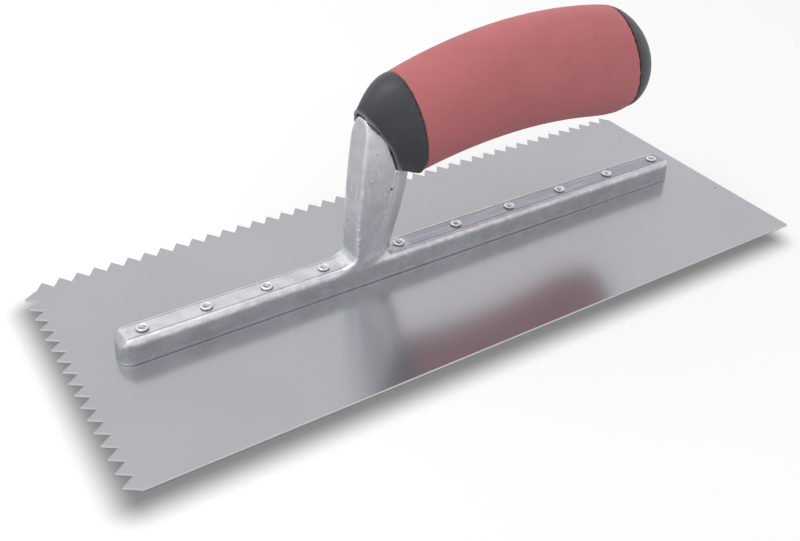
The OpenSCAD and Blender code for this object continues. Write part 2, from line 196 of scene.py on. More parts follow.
class StageSettings(bpy.types.PropertyGroup):
    """Floor, light and camera."""

    camera_place: FloatVectorProperty(
        name="Camera place", description="Where the camera stands", size=3, subtype="TRANSLATION",
        unit="LENGTH", default=(-182.34 * MM, -261.48 * MM, 218.94 * MM),
    )
    heading: FloatProperty(
        name="Heading", description="Turn of the view from +Y towards +X", subtype="ANGLE",
        default=0.6032,
    )
    dip: FloatProperty(
        name="Dip", description="How far the view looks down", subtype="ANGLE", default=0.5563,
    )
    roll: FloatProperty(
        name="Roll", description="Lean of the camera", subtype="ANGLE", default=0.0402,
    )
    lens: FloatProperty(
        name="Lens", description="Focal length in millimetres", default=45.23, min=10.0,
    )
    shift_x: FloatProperty(name="Shift X", description="Sideways lens shift", default=-0.0345)
    shift_y: FloatProperty(name="Shift Y", description="Upward lens shift", default=-0.0753)
    floor_size: length("Floor size", "Side of the square floor", 12.0, 1.0, 50.0)
    shade_reach: length("Shade reach", "How far the soft shade on the floor fades out", 13.6 * MM)
    shade_depth: share("Shade depth", "Strength of that shade beside the blade", 0.87)
    sky: share("Sky", "Strength of the even light from all round", 0.72, 0.0, 2.0)
    key_power: share("Key power", "Soft light above and behind, in watts", 6.0, 0.0, 100.0)
    fill_power: share("Fill power", "Soft light in front, in watts", 0.9, 0.0, 100.0)


# ---------------------------------------------------------------- shader sums

class Wire:
    """One output of a shader node, on which sums are written as plain arithmetic."""

    def __init__(self, finish, socket):
        self.finish = finish
        self.socket = socket

    def sum(self, operation, first, second):
        return self.finish.node("ShaderNodeMath", {"operation": operation}, {0: first, 1: second})

    def __add__(self, other):
        return self.sum("ADD", self, other)

    def __sub__(self, other):
        return self.sum("SUBTRACT", self, other)

    def __rsub__(self, other):
        return self.sum("SUBTRACT", other, self)

    def __mul__(self, other):
        return self.sum("MULTIPLY", self, other)

    __radd__ = __add__
    __rmul__ = __mul__

    def most(self, other):
        return self.sum("MAXIMUM", self, other)

    def size(self):
        return self.sum("ABSOLUTE", self, 0.0)

    def rise(self, low, high):
        """0 below low, 1 above high, smooth between."""
        return self.finish.node(
            "ShaderNodeMapRange", {"interpolation_type": "SMOOTHSTEP"},
            {"Value": self, "From Min": low, "From Max": high, "To Min": 0.0, "To Max": 1.0},
        )

    def line(self, place, width):
        """1 at the place, falling to 0 a width away on both sides."""
        return 1 - (self - place).size().rise(0.0, width)


class Finish:
    """Builds one node tree."""

    def __init__(self, tree):
        self.tree = tree
        tree.nodes.clear()
        self._place = None

    def node(self, kind, settings=None, values=None, out=0):
        """Add a node: its settings first, then the value or wire of each socket."""
        made = self.tree.nodes.new(kind)
        for name, value in (settings or {}).items():
            setattr(made, name, value)
        for name, value in (values or {}).items():
            if isinstance(value, Wire):
                self.tree.links.new(value.socket, made.inputs[name])
            else:
                made.inputs[name].default_value = value
        return Wire(self, made.outputs[out]) if made.outputs else made

    def place(self, part=None):
        """The point being shaded, in metres, or one part of it."""
        if self._place is None:
            self._place = self.node("ShaderNodeTexCoord", out=3)
            split = self.node("ShaderNodeSeparateXYZ", None, {0: self._place}).socket.node
            self._parts = {axis: Wire(self, split.outputs[axis]) for axis in "XYZ"}
        return self._parts[part] if part else self._place

    def scaled(self, x, y, z, shift=(0.0, 0.0, 0.0)):
        """The point with each axis scaled, for a drawn-out pattern."""
        values = {0: self.place(), "Location": shift, "Scale": (x, y, z)}
        return self.node("ShaderNodeMapping", None, values)

    def noise(self, per_metre, detail=2.0, rough=0.5, at=None):
        """Cloudy noise from 0 to 1."""
        return self.node(
            "ShaderNodeTexNoise", {"noise_dimensions": "3D"},
            {"Vector": at or self.place(), "Scale": per_metre, "Detail": detail, "Roughness": rough},
        )

    def cells(self, per_metre):
        """Distance to the nearest of many scattered points, in cell sizes."""
        values = {"Vector": self.place(), "Scale": per_metre, "Randomness": 1.0}
        return self.node("ShaderNodeTexVoronoi", {"feature": "F1"}, values)

    def stored(self, name):
        """A share that the modelling stored on the piece, point by point."""
        return self.node("ShaderNodeAttribute", {"attribute_name": name}, out=2)

    def upward(self):
        """How far the surface faces up: 1 up, 0 sideways, -1 down."""
        facing = self.node("ShaderNodeNewGeometry", out=1)
        return self.node("ShaderNodeSeparateXYZ", None, {0: facing}, out=2)

    def spot(self, centre, radius):
        """1 inside a ball round the centre, soft at its edge."""
        gap = self.node(
            "ShaderNodeVectorMath", {"operation": "DISTANCE"}, {0: self.place(), 1: centre}, out=1,
        )
        return 1 - gap.rise(radius * 0.5, radius)

    def mix(self, factor, first, second):
        """Colour mix."""
        pair = {
            6: first if isinstance(first, Wire) else rgba(first),
            7: second if isinstance(second, Wire) else rgba(second),
        }
        return self.node("ShaderNodeMix", {"data_type": "RGBA"}, {0: factor, **pair}, out=2)

    def bump(self, height, distance, strength=1.0, under=None):
        """Turn a height into a surface normal."""
        values = {"Height": height, "Distance": distance, "Strength": strength}
        if under:
            values["Normal"] = under
        return self.node("ShaderNodeBump", None, values)


def rgba(value):
    return (*value[:3], 1.0)


def shaded(value, factor):
    """A colour made lighter or darker."""
    return tuple(min(1.0, part * factor) for part in value[:3])


def new_finish(name):
    """A fresh material and the builder of its tree."""
    made = bpy.data.materials.new(name)
    made.use_nodes = True
    return made, Finish(made.node_tree)


def close(finish, **values):
    """Put the wires into the surface shader and the material's output."""
    surface = finish.node("ShaderNodeBsdfPrincipled", None, values)
    finish.node("ShaderNodeOutputMaterial", None, {"Surface": surface})


# ---------------------------------------------------------------- modelling helpers

def only(piece):
    """Leave one piece selected and active."""
    for other in list(bpy.context.selected_objects):
        other.select_set(False)
    if piece:
        piece.select_set(True)
        bpy.context.view_layer.objects.active = piece


def edit(piece, *steps):
    """Run edit-mode steps on all of a piece."""
    only(piece)
    bpy.ops.object.mode_set(mode="EDIT")
    bpy.ops.mesh.select_all(action="SELECT")
    for step in steps:
        step()
    bpy.ops.object.mode_set(mode="OBJECT")


def finish_with(piece, kind, **settings):
    """Add one modifier and apply it."""
    only(piece)
    modifier = piece.modifiers.new(kind.title(), kind)
    for name, value in settings.items():
        setattr(modifier, name, value)
    bpy.ops.object.modifier_apply(modifier=modifier.name)


def twin(node, name):
    """A merged copy of a frame node as a new piece."""
    piece = bpy.data.objects.new(name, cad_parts[node].data.copy())
    bpy.context.scene.collection.objects.link(piece)
    piece.data.materials.clear()
    only(piece)
    bpy.ops.mesh.customdata_custom_splitnormals_clear()
    edit(piece, lambda: bpy.ops.mesh.remove_doubles(threshold=0.002 * MM))
    return piece


def points(piece):
    """Vertex places as an array."""
    values = np.empty(len(piece.data.vertices) * 3, np.float32)
    piece.data.vertices.foreach_get("co", values)
    return values.reshape(-1, 3).astype(float)


def normals(piece):
    """Vertex normals as an array."""
    values = np.empty(len(piece.data.vertices) * 3, np.float32)
    piece.data.vertices.foreach_get("normal", values)
    return values.reshape(-1, 3).astype(float)


def place_points(piece, values):
    piece.data.vertices.foreach_set("co", values.astype(np.float32).ravel())
    piece.data.update()


def ramp(values, low, high):
    """0 below low, 1 above high, smooth between."""
    share_up = np.clip((values - low) / (high - low), 0.0, 1.0)
    return share_up * share_up * (3.0 - 2.0 * share_up)


def sharp_places(piece, angle, spacing):
    """Points along every edge of the piece whose faces meet at more than the angle."""
    mesh = piece.data
    faces_of = {}
    for face in mesh.polygons:
        for key in face.edge_keys:
            faces_of.setdefault(key, []).append(face.normal)
    found = []
    for (start, end), around in faces_of.items():
        if len(around) != 2 or around[0].angle(around[1], 0.0) < angle:
            continue
        first, last = mesh.vertices[start].co, mesh.vertices[end].co
        count = max(1, int((last - first).length / spacing))
        found += [first.lerp(last, step / count) for step in range(count + 1)]
    return found


def remould(node, name, mesh_size, crisp, even_steps, melt_steps):
    """A copy of a node with an even, soft-edged skin: facets melt, real edges stay."""
    piece = twin(node, name)
    edges = sharp_places(piece, SKIN_EDGE, mesh_size)
    tree = KDTree(len(edges))
    for index, place in enumerate(edges):
        tree.insert(place, index)
    tree.balance()
    finish_with(piece, "REMESH", mode="VOXEL", voxel_size=mesh_size, adaptivity=0.0)
    finish_with(piece, "SMOOTH", factor=0.5, iterations=even_steps)
    group = piece.vertex_groups.new(name="open_skin")
    for vertex in piece.data.vertices:
        gap = tree.find(vertex.co)[2]
        weight = min(1.0, max(0.0, (gap - crisp) / (2.0 * crisp)))
        if weight > 0.0:
            group.add([vertex.index], weight, "REPLACE")
    finish_with(piece, "SMOOTH", factor=0.5, iterations=melt_steps, vertex_group="open_skin")
    piece.vertex_groups.clear()
    return piece


def round_edges(piece, width):
    """Join the flat facets and round every sharp edge."""
    edit(piece, lambda: bpy.ops.mesh.dissolve_limited(angle_limit=FLAT_ENOUGH))
    finish_with(
        piece, "BEVEL", width=width, segments=2, limit_method="ANGLE", angle_limit=SHARP_EDGE,
    )


def roughen(piece, name, size, height):
    """Raise and sink the skin by cloudy noise."""
    texture = bpy.data.textures.new(name, "CLOUDS")
    texture.noise_scale = size
    texture.noise_depth = 2
    finish_with(
        piece, "DISPLACE", texture=texture, texture_coords="LOCAL", strength=height, mid_level=0.5,
    )
    bpy.data.textures.remove(texture)


def mark_edges(piece, steps):
    """Store how far each point stands out of its surroundings, as a share, in a point attribute; the
    casting's material paints wear and a highlight on proud edges and shade in hollows from it.
    """
    mesh = piece.data
    pairs = np.empty(len(mesh.edges) * 2, np.int32)
    mesh.edges.foreach_get("vertices", pairs)
    pairs = pairs.reshape(-1, 2)
    start = points(piece)
    count = np.bincount(pairs.ravel(), minlength=len(start)).reshape(-1, 1)
    soft = start.copy()
    for _ in range(steps):
        total = np.zeros_like(soft)
        for axis in range(3):
            total[:, axis] = np.bincount(pairs[:, 0], soft[pairs[:, 1], axis], len(soft))
            total[:, axis] += np.bincount(pairs[:, 1], soft[pairs[:, 0], axis], len(soft))
        soft = total / np.maximum(count, 1)
    proud = ((start - soft) * normals(piece)).sum(1)
    store(piece, "wear_and_shading", np.clip(0.5 + proud / (1.2 * MM), 0.0, 1.0))


def surface_of(node):
    """A frame node's surface, for finding the nearest point on it."""
    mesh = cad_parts[node].data
    corners = [vertex.co.copy() for vertex in mesh.vertices]
    return BVHTree.FromPolygons(corners, [tuple(face.vertices) for face in mesh.polygons])


def store(piece, name, values):
    """Keep a share for each point of the piece, for its material."""
    layer = piece.data.attributes.new(name, "FLOAT", "POINT")
    layer.data.foreach_set("value", values.astype(np.float32))


def smooth_where(piece, weight, steps):
    """Smooth a piece by a weight for each of its points."""
    group = piece.vertex_groups.new(name="soft_places")
    for index in np.where(weight > 0.0)[0]:
        group.add([int(index)], float(weight[index]), "REPLACE")
    finish_with(piece, "SMOOTH", factor=0.5, iterations=steps, vertex_group="soft_places")
    piece.vertex_groups.clear()


def hand_over(piece, node, finish_material, smooth=None):
    """Give a finished piece its material, its shading and its body, and hide the frame node it stands
    for.
    """
    piece.data.materials.clear()
    piece.data.materials.append(finish_material)
    only(piece)
    if smooth is None:
        bpy.ops.object.shade_smooth()
    elif smooth > 0.0:
        bpy.ops.object.shade_smooth_by_angle(angle=smooth)
    else:
        bpy.ops.object.shade_flat()
    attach(piece, BODY)
    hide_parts(node)
    only(None)


# ---------------------------------------------------------------- finishes

def satin_steel(settings):
    """Cold-rolled sheet: satin polish, faint rolling lines, a painted highlight on the cut edges and a
    few specks.
    """
    made, f = new_finish("satin_steel")
    cloud = f.noise(14.0, 3.0)
    drawn = f.noise(1.0, 3.0, 0.6, f.scaled(22.0, 1700.0, 1700.0))
    fine = f.noise(1.0, 2.0, 0.5, f.scaled(140.0, 6000.0, 6000.0))
    low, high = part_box("blade")
    in_x, in_y, radius = SPECK_FROM_LOW
    specks = f.spot((low.x + in_x, low.y + in_y, BLADE_TOP), radius)
    for in_x, in_y, radius in SPECKS_FROM_HIGH:
        specks = specks.most(f.spot((high.x - in_x, high.y - in_y, BLADE_TOP), radius))
    steel = settings.steel
    skin = f.mix(cloud.rise(0.3, 0.7), shaded(steel, 0.97), shaded(steel, 1.02))
    skin = f.mix(specks, skin, (0.05, 0.045, 0.05))
    # Cut edges: sideways faces get a paler colour, a painted highlight standing in for the light they
    # catch; they are also rougher and less metallic.
    cut = 1 - f.upward().size().rise(0.35, 0.85)
    skin = f.mix(cut * 0.7, skin, (0.80, 0.80, 0.82))
    scuffs = f.noise(1.0, 2.0, 0.5, f.scaled(60.0, 420.0, 60.0)).rise(0.62, 0.80)
    rough = settings.satin + (drawn - 0.5) * 0.05 + scuffs * 0.03 + specks * 0.4 + cut * 0.2
    normal = f.bump(drawn * 0.6 + fine * 0.4, 0.0015 * MM)
    metallic = 0.82 + cut * 0.1
    close(f, **{"Base Color": skin, "Metallic": metallic, "Roughness": rough, "Normal": normal})
    return made


def cast_metal(settings, bar_top, middle):
    """Tumbled aluminium casting: mottled and scuffed, lighter on proud edges (wear and painted
    highlight), with painted highlights on the shank's edges and the bar's shoulders, painted shade on
    the bar's sides, in hollows and along the flat's step, and a painted reflection on the flat behind
    the shank.
    """
    made, f = new_finish("tumbled_casting")
    broad = f.noise(170.0, 3.0, 0.55)
    small = f.noise(900.0, 3.0, 0.6)
    grain = f.noise(3200.0, 2.0, 0.6)
    wear_and_shading = f.stored("wear_and_shading")
    # Proud edges: lighter and smoother, rubbed wear with a painted highlight.
    rubbed_and_lit = wear_and_shading.rise(0.56, 0.82)
    # Hollows: painted shade, darker where the skin is sunk.
    hollow = 1 - wear_and_shading.rise(0.22, 0.48)
    scratch = f.noise(1.0, 2.0, 0.5, f.scaled(520.0, 520.0, 110.0)).rise(0.64, 0.72)
    crossing = f.noise(1.0, 1.0, 0.5, f.scaled(700.0, 160.0, 330.0, (0.3, 0.1, 0.2)))
    scratch = scratch.most(crossing.rise(0.66, 0.72))
    scratch = scratch * (0.25 + f.place("Z").rise(bar_top, bar_top + 3.0 * MM) * 0.75)
    pit = f.spot(CASTING_PIT, CASTING_PIT_RADIUS)
    pits = 1 - f.cells(330.0).rise(0.04, 0.11)
    pits = pits * f.noise(120.0, 1.0).rise(0.5, 0.62)
    on_top = f.place("Z").rise(bar_top - 0.5 * MM, bar_top - 0.25 * MM)
    on_top = on_top * (1 - f.place("Z").rise(bar_top + 0.5 * MM, bar_top + 0.9 * MM))
    broken = f.noise(1.0, 1.0, 0.5, f.scaled(60.0, 900.0, 60.0)).rise(0.30, 0.50)
    across = f.place("Y") - middle
    lines = across.line(1.75 * MM, 0.22 * MM).most(across.line(3.0 * MM, 0.20 * MM) * 0.8)
    ridge = lines * on_top * broken
    edge = f.stored("painted_edge_highlight")
    low_down = 1 - f.place("Z").rise(bar_top - 0.9 * MM, bar_top - 0.1 * MM)
    flat = on_top * (1 - across.size().rise(3.0 * MM, 3.7 * MM))
    behind_shank = f.place("X").rise(-14.0 * MM, -9.0 * MM)
    metal = settings.metal
    skin = f.mix(broad.rise(0.30, 0.70), shaded(metal, 0.86), shaded(metal, 1.08))
    near_shank = 1 - (f.place("X") - 12.0 * MM).size().rise(0.0, 70.0 * MM)
    # Painted shade: the bar's sides below its top made darker, less so near the shank.
    skin = f.mix(low_down * (0.50 - near_shank * 0.26), skin, shaded(metal, 0.50))
    # Painted reflection of the handle above: the flat behind the shank made dark and bluish.
    skin = f.mix(flat * behind_shank * 0.82, skin, (0.27, 0.275, 0.33))
    streak = f.noise(1.0, 2.0, 0.5, f.scaled(45.0, 1100.0, 45.0)).rise(0.40, 0.70)
    skin = f.mix(flat * streak * 0.30, skin, shaded(metal, 0.92))
    shank = f.place("Z").rise(bar_top, bar_top + 3.0 * MM)
    skin = f.mix(small.rise(0.42, 0.72) * (0.14 + shank * 0.28), skin, shaded(metal, 1.10))
    blotch = f.noise(330.0, 4.0, 0.65).rise(0.42, 0.66)
    skin = f.mix(blotch * low_down * 0.38, skin, shaded(metal, 0.98))
    # Painted highlight along the bar's rounded shoulders.
    band = f.place("Z").line(bar_top - 1.3 * MM, 1.5 * MM) * across.size().rise(3.2 * MM, 3.9 * MM)
    skin = f.mix(band * (0.25 + blotch * 0.45), skin, shaded(metal, 1.32))
    side = across.size().rise(4.4 * MM, 4.9 * MM)
    high_side = side * f.place("Z").rise(42.0 * MM, 56.0 * MM)
    # Painted shade on the shank, less on its upper sides; the next line paints a highlight on those
    # upper sides.
    skin = f.mix(shank * (0.55 - high_side * 0.55), skin, shaded(metal, 0.84))
    skin = f.mix(high_side * 0.35, skin, shaded(metal, 1.3))
    lit = behind_shank * across.size().line(4.1 * MM, 1.5 * MM)
    lit = lit * f.place("Z").rise(bar_top - 2.6 * MM, bar_top - 1.6 * MM)
    metallic = 1 - lit * 0.65
    step = across.size().line(3.3 * MM, 0.42 * MM) * on_top
    # Painted shade along the step at the edge of the sunk flat.
    skin = f.mix(step * 0.75, skin, (0.20, 0.20, 0.235))
    # Painted shade in the hollows.
    skin = f.mix(hollow * 0.55, skin, shaded(metal, 0.50))
    skin = f.mix(rubbed_and_lit * 0.5, skin, shaded(metal, 1.35))
    skin = f.mix(scratch * 0.35, skin, shaded(metal, 1.40))
    # Painted light: the rear strip of the shank's sides made lighter.
    strip = f.stored("painted_strip_light")
    skin = f.mix(strip * 0.5, skin, shaded(metal, 1.35))
    # Painted highlight along the shank's crisp edges, the mouth's rim and its front corner.
    skin = f.mix(edge * (0.45 + small.rise(0.35, 0.60) * 0.5), skin, shaded(metal, 1.5))
    skin = f.mix(ridge * 0.4, skin, shaded(metal, 1.2))
    skin = f.mix(pit.most(pits * 0.7), skin, shaded(metal, 0.22))
    rough = settings.dull + (small - 0.5) * 0.22 + hollow * 0.12
    rough = rough - rubbed_and_lit * 0.12 - scratch * 0.08 + step * 0.25
    height = small * 0.55 + grain * 0.25 + broad * 0.2
    normal = f.bump(height, 0.10 * MM, 0.9)
    normal = f.bump(ridge - scratch * 0.25 - pits.most(pit), 0.12 * MM, 1.0, normal)
    close(f, **{"Base Color": skin, "Metallic": metallic, "Roughness": rough, "Normal": normal})
    return made


def rivet_metal(settings):
    """Bright soft metal, slightly hammered by the clenching tool, with painted shade in the dimple and
    under the ring.
    """
    made, f = new_finish("clenched_rivet")
    small = f.noise(1500.0, 2.0, 0.6)
    broad = f.noise(420.0, 2.0)
    metal = settings.metal
    skin = f.mix(broad.rise(0.35, 0.65), shaded(metal, 0.86), shaded(metal, 1.10))
    # Painted shade in the dimple and round the foot of the ring.
    dirt = f.stored("dirt")
    skin = f.mix(dirt * 0.8, skin, shaded(metal, 0.22))
    rough = 0.27 + small * 0.16 + dirt * 0.15
    normal = f.bump(small, 0.05 * MM, 0.8)
    close(f, **{"Base Color": skin, "Metallic": 1.0, "Roughness": rough, "Normal": normal})
    return made


def hard_plastic(settings):
    """Moulded dark plastic with a fine grained skin, a painted sheen on the butt and a painted
    highlight along the lip.
    """
    made, f = new_finish("dark_plastic")
    grain = f.noise(5200.0, 2.0, 0.6)
    broad = f.noise(90.0, 2.0)
    dust = f.noise(420.0, 3.0, 0.65).rise(0.55, 0.8)
    plastic = settings.plastic
    skin = f.mix(broad.rise(0.3, 0.7), shaded(plastic, 0.88), shaded(plastic, 1.12))
    skin = f.mix(dust * 0.10, skin, (0.20, 0.20, 0.21))
    # Painted sheen: the butt made paler.
    butt = f.place("X").rise(80.0 * MM, 90.0 * MM)
    skin = f.mix(butt * 0.5, skin, (0.080, 0.084, 0.098))
    lip = f.stored("lip")
    # Painted highlight along the raised lip round the mouth.
    skin = f.mix(lip * 0.8, skin, (0.24, 0.24, 0.27))
    rough = 0.40 + grain * 0.10 + dust * 0.06 - lip * 0.08
    normal = f.bump(grain, 0.018 * MM, 0.8)
    close(f, **{
        "Base Color": skin, "Roughness": rough, "Normal": normal, "Specular IOR Level": 0.55,
    })
    return made


def soft_rubber(settings):
    """Matte rubber, slightly dusty, with fine pores and a few specks, and painted shade on its
    underside.
    """
    made, f = new_finish("soft_rubber")
    grain = f.noise(3600.0, 3.0, 0.65)
    broad = f.noise(60.0, 2.0, 0.5)
    blotch = f.noise(340.0, 3.0, 0.6)
    dark = (1 - f.cells(210.0).rise(0.05, 0.10)) * f.noise(70.0, 1.0).rise(0.56, 0.66)
    rubber = settings.rubber
    skin = f.mix(broad.rise(0.3, 0.7), shaded(rubber, 0.95), shaded(rubber, 1.05))
    skin = f.mix(blotch.rise(0.45, 0.75) * 0.35, skin, shaded(rubber, 1.10))
    skin = f.mix(dark * 0.55, skin, shaded(rubber, 0.45))
    # Painted shade: faces turned down are made darker.
    underside_shade = 1 - f.upward().rise(-0.6, 0.45)
    skin = f.mix(underside_shade * 0.5, skin, shaded(rubber, 0.74))
    rough = 0.62 + grain * 0.14
    normal = f.bump(grain * 0.8 + blotch * 0.2, 0.05 * MM, 0.7)
    close(f, **{
        "Base Color": skin, "Roughness": rough, "Normal": normal, "Specular IOR Level": 0.35,
        "Sheen Weight": 0.12, "Sheen Roughness": 0.5, "Sheen Tint": rgba((1.0, 0.75, 0.75)),
    })
    return made


def plated_steel(settings):
    """Zinc-plated steel of the bolt and washer."""
    made, f = new_finish("plated_steel")
    cloud = f.noise(380.0, 3.0, 0.6)
    fine = f.noise(2600.0, 2.0)
    metal = settings.metal
    skin = f.mix(cloud.rise(0.3, 0.7), shaded(metal, 0.88), shaded(metal, 1.08))
    rough = 0.28 + fine * 0.14
    close(f, **{
        "Base Color": skin, "Metallic": 1.0, "Roughness": rough, "Normal": f.bump(fine, 0.02 * MM, 0.7),
    })
    return made


# ---------------------------------------------------------------- operators

class MakeBlade(bpy.types.Operator):
    """Model the toothed sheet with its cut edges slightly rounded"""

    bl_idname = "trowel.blade"
    bl_label = "Blade"

    def execute(self, context):
        settings = context.scene.trowel_blade
        blade = twin("blade", "blade_sheet")
        round_edges(blade, settings.edge_round)
        hand_over(blade, "blade", satin_steel(settings), 0.0)
        return {"FINISHED"}


class MakeCasting(bpy.types.Operator):
    """Model the cast bar and shank with their foot step, sunk flat, side facet and cast skin"""

    bl_idname = "trowel.casting"
    bl_label = "Cast mounting"

    def execute(self, context):
        settings = context.scene.trowel_casting
        casting = remould(
            "mounting", "cast_mounting", settings.mesh_size,
            crisp=0.35 * MM, even_steps=3, melt_steps=14,
        )
        low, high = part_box("mounting")
        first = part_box(RIVETS[0])
        bar_top = first[1].z - context.scene.trowel_rivets.head_height
        middle = (first[0].y + first[1].y) / 2.0
        self.step_foot(casting, settings)
        self.sink_flat(casting, settings, bar_top, middle)
        self.soften(casting, low, high, bar_top, middle)
        line = self.cut_side_strip(casting, settings, middle)
        self.mark_corners(casting, line)
        self.flash_marks(casting)
        roughen(casting, "cast_waves", 5.0 * MM, settings.waves)
        roughen(casting, "cast_skin", 1.3 * MM, settings.skin)
        self.seat(casting)
        mark_edges(casting, 14)
        finish_material = cast_metal(settings, bar_top, middle)
        hand_over(casting, "mounting", finish_material)
        return {"FINISHED"}

    def soften(self, casting, low, high, bar_top, middle):
        """Round the bar's ends and shoulders and the shank's top more than the rest."""
        place = points(casting)
        ends = np.minimum(place[:, 0] - low.x, high.x - place[:, 0])
        weight = 1.0 - ramp(ends, 2.5 * MM, 5.0 * MM)
        weight *= ramp(place[:, 2], BLADE_TOP + 0.8 * MM, BLADE_TOP + 2.0 * MM)
        weight = np.maximum(weight, ramp(place[:, 2], high.z - 7.0 * MM, high.z - 3.0 * MM))
        shoulder = ramp(place[:, 2], bar_top - 3.2 * MM, bar_top - 1.6 * MM)
        shoulder *= 1.0 - ramp(place[:, 2], bar_top + 0.3 * MM, bar_top + 0.8 * MM)
        shoulder *= ramp(np.abs(place[:, 1] - middle), 2.6 * MM, 3.6 * MM)
        smooth_where(casting, np.maximum(weight, shoulder), 30)

    def seat(self, casting):
        """Bring the foot of the bar down flat on the blade."""
        place = points(casting)
        place[:, 2] = np.where(place[:, 2] < BLADE_TOP + 0.32 * MM, BLADE_TOP, place[:, 2])
        place_points(casting, place)

    def step_foot(self, casting, settings):
        """Leave a thin step standing out along the foot of the bar."""
        place, facing = points(casting), normals(casting)
        height = place[:, 2] - BLADE_TOP
        amount = 1.0 - ramp(height, settings.foot_height, settings.foot_height + 0.4 * MM)
        sideways = ramp(np.hypot(facing[:, 0], facing[:, 1]), 0.5, 0.9)
        place[:, :2] += facing[:, :2] * (amount * sideways * settings.foot_step)[:, None]
        place_points(casting, place)

    def sink_flat(self, casting, settings, bar_top, middle):
        """Sink the flat that runs along the bar between its rounded shoulders."""
        place, facing = points(casting), normals(casting)
        across = np.abs(place[:, 1] - middle)
        inside = 1.0 - ramp(across, settings.flat_half - 0.35 * MM, settings.flat_half)
        level = 1.0 - ramp(np.abs(place[:, 2] - bar_top), 0.25 * MM, 0.6 * MM)
        facing_up = ramp(facing[:, 2], 0.7, 0.95)
        place[:, 2] -= inside * level * facing_up * settings.flat_sink
        place_points(casting, place)

    def cut_side_strip(self, casting, settings, middle):
        """Let the rear strip of the shank's sides fall away from a crisp curved edge.

        Gives back how far each point lies on that edge or on the rim along the handle's mouth, where a
        painted highlight goes.
        """
        place, facing = points(casting), normals(casting)
        behind = place[:, 0] - np.interp(place[:, 2], STRIP_HEIGHTS, STRIP_EDGE)
        on_shank = ramp(place[:, 2], STRIP_HEIGHTS[0], STRIP_HEIGHTS[1] + 1.5 * MM)
        side = place[:, 1] - middle
        outside = ramp(np.abs(facing[:, 1]), 0.35, 0.75) * on_shank
        below_mouth = 1.0 - ramp(place[:, 2], *STRIP_END)
        fall = settings.strip_step * ramp(behind, 0.0, 0.6 * MM)
        fall += settings.strip_fall * ramp(behind, 0.0, 6.0 * MM)
        place[:, 1] -= np.sign(side) * fall * outside * below_mouth
        place_points(casting, place)
        # Store the strip behind the edge, for the painted light the material puts on it.
        store(casting, "painted_strip_light", outside * ramp(behind, 0.3 * MM, 1.2 * MM))
        line = outside * (1.0 - ramp(np.abs(behind), 0.12 * MM, 0.55 * MM))
        core = surface_of("handle_core")
        for index in np.where((place[:, 2] > 40.0 * MM) & (outside > 0.3))[0]:
            found = core.find_nearest(Vector(place[index]), 1.3 * MM)
            if found[3] is not None:
                rim = outside[index] * (1.0 - ramp(found[3], 0.5 * MM, 1.1 * MM))
                line[index] = max(line[index], rim)
        return line

    def mark_corners(self, casting, line):
        """Store where the shank's front corner and side edge run, as a share, for the painted highlight
        the material puts along them.
        """
        place, facing = points(casting), normals(casting)
        low_down = 1.0 - ramp(place[:, 2], 34.0 * MM, 44.0 * MM)
        ahead = place[:, 0] - np.interp(place[:, 2], CORNER_HEIGHTS, CORNER_EDGE)
        ahead = ahead + low_down * 0.5 * MM
        on_corner = 1.0 - ramp(np.abs(ahead), 0.3 * MM, (0.9 + 0.9 * low_down) * MM)
        sideways = np.abs(facing[:, 1])
        on_corner *= ramp(sideways, 0.28 - 0.34 * low_down, 0.45 - 0.40 * low_down)
        on_corner *= 1.0 - ramp(sideways, 0.85, 0.97)
        on_corner *= ramp(place[:, 2], CORNER_HEIGHTS[0], CORNER_HEIGHTS[1])
        store(casting, "painted_edge_highlight", np.maximum(line, 0.8 * on_corner))

    def flash_marks(self, casting):
        """Small nicks and raised flash on the shank's front corners, low down."""
        place, facing = points(casting), normals(casting)
        height = place[:, 2] / MM
        band = ramp(height, 11.0, 14.0) * (1.0 - ramp(height, 26.0, 31.0))
        corner = ramp(-facing[:, 0], 0.15, 0.5) * (1.0 - ramp(-facing[:, 0], 0.85, 0.98))
        ripple = np.sin(height * 2.2) * np.sin(height * 0.9 + 1.0)
        amount = band * corner * (ripple * 0.16 + 0.06) * MM
        place += facing * amount[:, None]
        place_points(casting, place)


